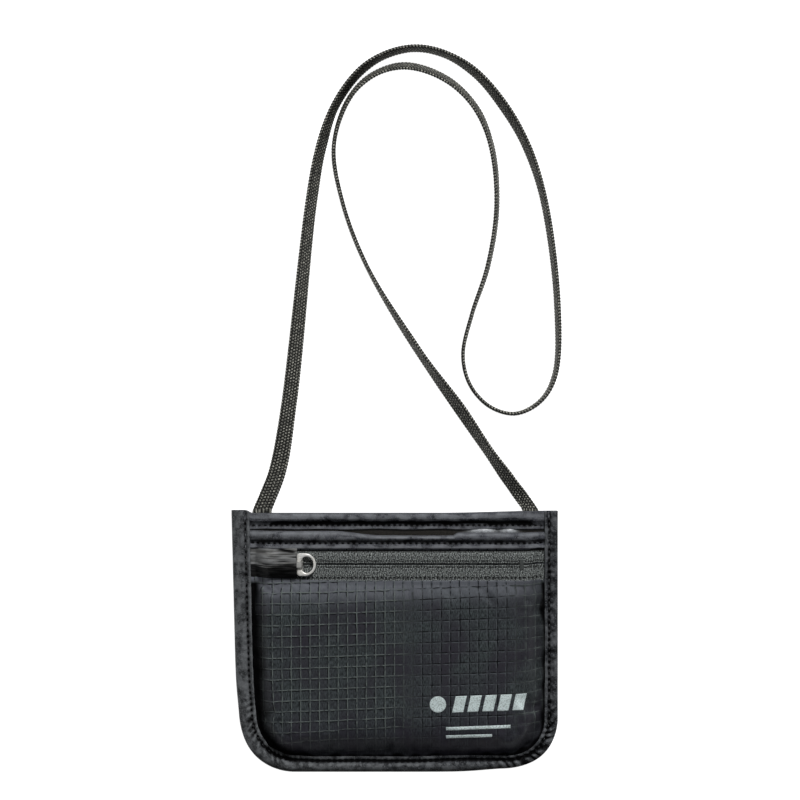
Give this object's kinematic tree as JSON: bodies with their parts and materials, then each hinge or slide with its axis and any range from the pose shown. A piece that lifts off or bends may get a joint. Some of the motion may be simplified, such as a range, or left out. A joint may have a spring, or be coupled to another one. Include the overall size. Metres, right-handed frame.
{
  "type": "neck pouch wallet",
  "caption": "Flat two-pocket textile travel pouch with bound edges, an open top slot, a zipped front pocket with a garage and ring pull, and a flat braided neck strap.",
  "frame": {"origin": "centre of the pouch's footprint, on the surface that it lies on", "axes": "+X to the right for someone looking at the front, +Y up the pouch towards the strap, +Z out of its front"},
  "size_m": [0.1463, 0.3221, 0.0149],
  "materials": {
    "nylon_shell": "ripstop woven nylon, charcoal, faint grid, soft satin",
    "lining": "thin coated lining cloth, mid grey",
    "binding": "woven grosgrain and knitted edge tape, dark grey",
    "thread": "bonded sewing thread, near black",
    "zip_tape": "knitted zip tape, charcoal, flat side out",
    "zip_coil": "moulded polyester coil and stops, near black",
    "metal": "polished plated zinc",
    "strap": "flat braided cord, black-grey"
  },
  "bodies": {
    "pouch": {"rear_panel": "nylon_shell", "divider_panel": "nylon_shell", "front_panel": "nylon_shell", "rear_lining": "lining", "divider_lining": "lining", "edge_binding": "binding", "front_top_binding": "binding", "rear_top_binding": "binding", "zip_garage": "binding", "edge_stitching": "thread", "rear_top_stitching": "thread", "front_top_stitching": "thread", "zip_stitching": "thread", "zip_tape_lower": "zip_tape", "zip_tape_upper": "zip_tape", "zip_coil_lower": "zip_coil", "zip_coil_upper": "zip_coil", "zip_top_stop_lower": "zip_coil", "zip_top_stop_upper": "zip_coil", "zip_bottom_stop": "zip_coil", "neck_strap": "strap"},
    "slider": {"zip_slider": "metal"},
    "pull": {"zip_pull_ring": "metal"}
  },
  "joints": [
    {"name": "zip_slide", "type": "slide", "parent": "pouch", "child": "slider", "axis": [1, 0, 0], "range_m": [0, 0.095]},
    {"name": "pull_hinge", "type": "hinge", "parent": "slider", "child": "pull", "pos_m": [-0.0421, 0.0346, 0.01205], "axis": [0, -1, 0], "range_deg": [0, 90]}
  ]
}
